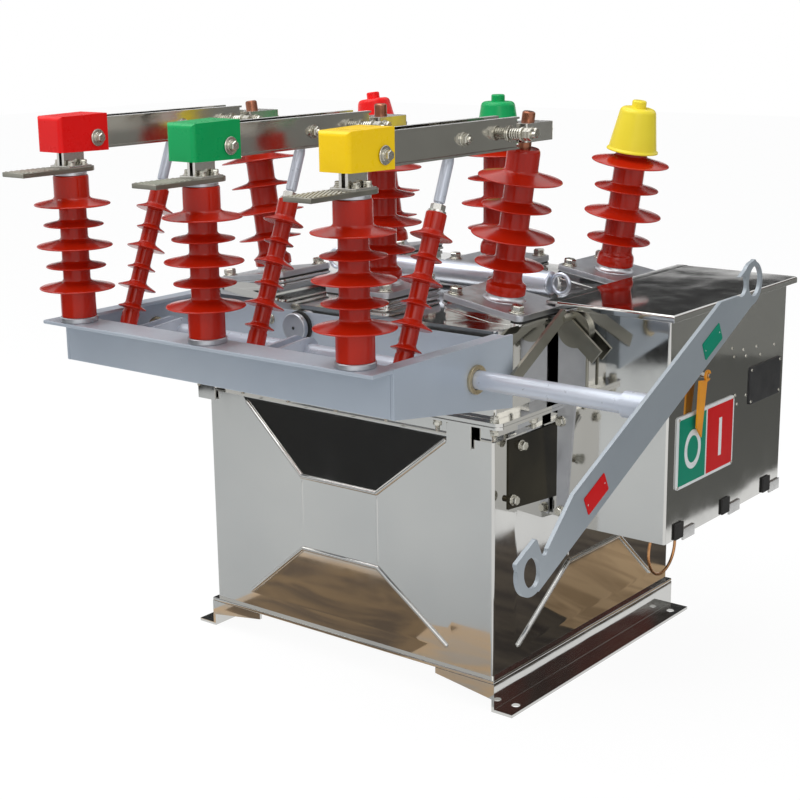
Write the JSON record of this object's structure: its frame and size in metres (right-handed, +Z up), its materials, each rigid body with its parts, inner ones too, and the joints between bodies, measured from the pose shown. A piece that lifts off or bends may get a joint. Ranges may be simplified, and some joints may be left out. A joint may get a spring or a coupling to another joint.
{
  "type": "outdoor vacuum circuit breaker with side disconnector",
  "caption": "Outdoor vacuum circuit breaker: polished steel tank with shed bushings, spring mechanism box and a ganged side disconnector with lift-up blades and a pole handle.",
  "frame": {"origin": "centre of the four foundation bolt holes, on the underside of the base rails", "axes": "+Z up, +X towards the mechanism box and handle, -Y towards the disconnector"},
  "size_m": [0.981, 1, 0.927],
  "materials": {
    "stainless": "mirror polished",
    "frame_paint": "satin silver-grey paint",
    "brass": "turned",
    "copper_wire": "drawn wire",
    "sign": "enamel, green and red halves",
    "name_plate": "blank plate",
    "pointer": "gloss paint",
    "silicone": "glossy silicone rubber",
    "tinned": "tin plated",
    "plastic_red": "gloss",
    "plastic_green": "gloss",
    "plastic_yellow": "gloss"
  },
  "bodies": {
    "breaker": {"base_plate": "stainless", "base_rail_left": "stainless", "base_rail_right": "stainless", "box_latch_front": "stainless", "box_latch_middle": "stainless", "box_latch_rear": "stainless", "bushing_front_green": "silicone", "bushing_front_red": "silicone", "bushing_front_yellow": "silicone", "bushing_rear_green": "silicone", "bushing_rear_red": "silicone", "bushing_rear_yellow": "silicone", "fixed_contact_green": "tinned", "fixed_contact_red": "tinned", "fixed_contact_yellow": "tinned", "frame_arm_left": "frame_paint", "frame_arm_right": "frame_paint", "frame_front_beam": "frame_paint", "frame_rear_beam": "frame_paint", "hinge_clamp_green": "tinned", "hinge_clamp_red": "tinned", "hinge_clamp_yellow": "tinned", "interlock": "stainless", "lifting_bar": "stainless", "mechanism_box": "stainless", "mechanism_lid": "stainless", "name_plate": "name_plate", "post_green": "silicone", "post_red": "silicone", "post_yellow": "silicone", "pull_ring": "copper_wire", "shaft_bearing_left": "brass", "shaft_bearing_right": "brass", "side_plate": "stainless", "sign_plate": "sign", "tank": "stainless", "tank_cover": "stainless", "tank_flange": "stainless", "terminal_cap_green": "plastic_green", "terminal_cap_red": "plastic_red", "terminal_cap_yellow": "plastic_yellow", "vent_cap": "stainless"},
    "shaft": {"operating_shaft": "frame_paint", "handle": "frame_paint", "handle_plate_green": "plastic_green", "handle_plate_red": "plastic_red"},
    "blades": {"blade_red": "tinned", "blade_green": "tinned", "blade_yellow": "tinned", "blade_cover_red": "plastic_red", "blade_cover_green": "plastic_green", "blade_cover_yellow": "plastic_yellow"},
    "rods": {"operating_insulator_red": "silicone", "operating_insulator_green": "silicone", "operating_insulator_yellow": "silicone"},
    "pointer": {"position_pointer": "pointer"}
  },
  "joints": [
    {"name": "shaft_turn", "type": "hinge", "parent": "breaker", "child": "shaft", "pos_m": [0, -0.37, 0.558], "axis": [-1, 0, 0], "range_deg": [0, 55]},
    {"name": "blade_swing", "type": "hinge", "parent": "breaker", "child": "blades", "pos_m": [0, -0.235, 0.896], "axis": [-1, 0, 0], "range_deg": [0, 55]},
    {"name": "rod_swing", "type": "hinge", "parent": "blades", "child": "rods", "pos_m": [0, -0.35, 0.896], "axis": [1, 0, 0], "range_deg": [0, 55]},
    {"name": "pointer_swing", "type": "hinge", "parent": "breaker", "child": "pointer", "pos_m": [0.5205, -0.02, 0.522], "axis": [1, 0, 0], "range_deg": [0, 40]}
  ],
  "couplings": [
    {"joint": "blade_swing", "follows": "shaft_turn", "ratio": 1},
    {"joint": "rod_swing", "follows": "shaft_turn", "ratio": 1}
  ]
}
